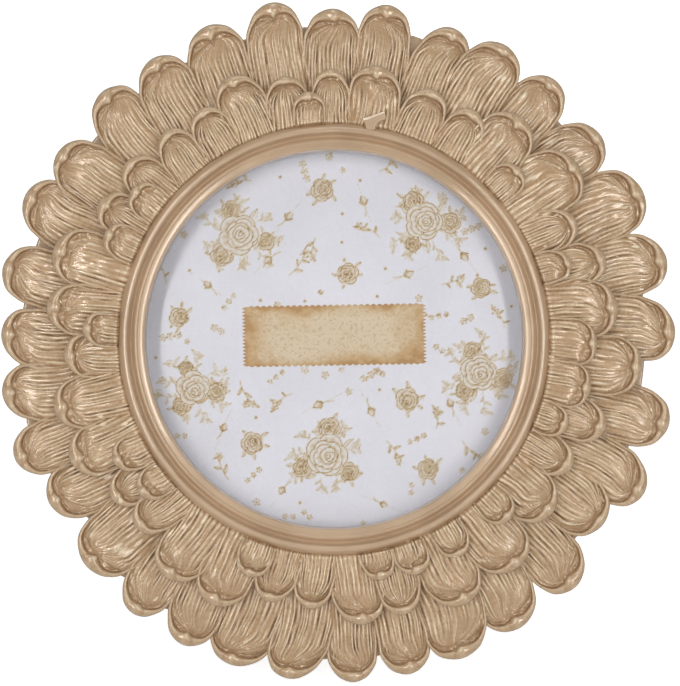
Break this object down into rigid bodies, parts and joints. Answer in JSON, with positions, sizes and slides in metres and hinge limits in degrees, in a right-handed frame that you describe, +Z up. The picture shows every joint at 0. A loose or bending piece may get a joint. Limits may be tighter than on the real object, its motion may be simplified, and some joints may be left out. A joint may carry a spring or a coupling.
{
  "type": "round photo frame",
  "caption": "Round table photo frame with a cast wreath of petals, a glazed circular window and a folding strut behind.",
  "frame": {"origin": "on the floor, under the middle of the standing frame", "axes": "+X to the right, -Y the way the face looks, +Z up from the floor"},
  "size_m": [0.1781, 0.0622, 0.1745],
  "materials": {
    "cast_frame": "champagne taupe paint, satin",
    "glass": "clear",
    "print": "matt print",
    "board": "fibreboard",
    "flocking": "black velvety cover",
    "hinge": "zinc plated",
    "rivet": "brass plated",
    "turn_button": "zinc plated",
    "screw": "zinc plated",
    "hanger": "brass plated"
  },
  "bodies": {
    "frame": {"petal_frame": "cast_frame", "glass_pane": "glass", "photo_print": "print", "back_board": "board", "board_flocking": "flocking", "hinge_board_leaf": "hinge", "hinge_pin": "hinge", "board_rivets": "rivet", "turn_button_screws": "screw", "hanger_plate": "hanger", "hanger_rivets": "rivet"},
    "strut": {"strut_board": "board", "strut_flocking": "flocking", "hinge_strut_leaf": "hinge", "strut_rivets": "rivet"},
    "button_1": {"turn_button_1": "turn_button"},
    "button_2": {"turn_button_2": "turn_button"},
    "button_3": {"turn_button_3": "turn_button"},
    "button_4": {"turn_button_4": "turn_button"}
  },
  "joints": [
    {"name": "strut_fold", "type": "hinge", "parent": "frame", "child": "strut", "pos_m": [-0.0011, 0.00865, 0.10042], "axis": [1, 0, 0], "range_deg": [-28, 0]},
    {"name": "button_1_turn", "type": "hinge", "parent": "frame", "child": "button_1", "pos_m": [0.04133, 0.0141, 0.12739], "axis": [0, 0.9613, -0.2756], "continuous": true},
    {"name": "button_2_turn", "type": "hinge", "parent": "frame", "child": "button_2", "pos_m": [0.04133, -0.00929, 0.04583], "axis": [0, 0.9613, -0.2756], "continuous": true},
    {"name": "button_3_turn", "type": "hinge", "parent": "frame", "child": "button_3", "pos_m": [-0.04353, -0.00929, 0.04583], "axis": [0, 0.9613, -0.2756], "continuous": true},
    {"name": "button_4_turn", "type": "hinge", "parent": "frame", "child": "button_4", "pos_m": [-0.04353, 0.0141, 0.12739], "axis": [0, 0.9613, -0.2756], "continuous": true}
  ]
}
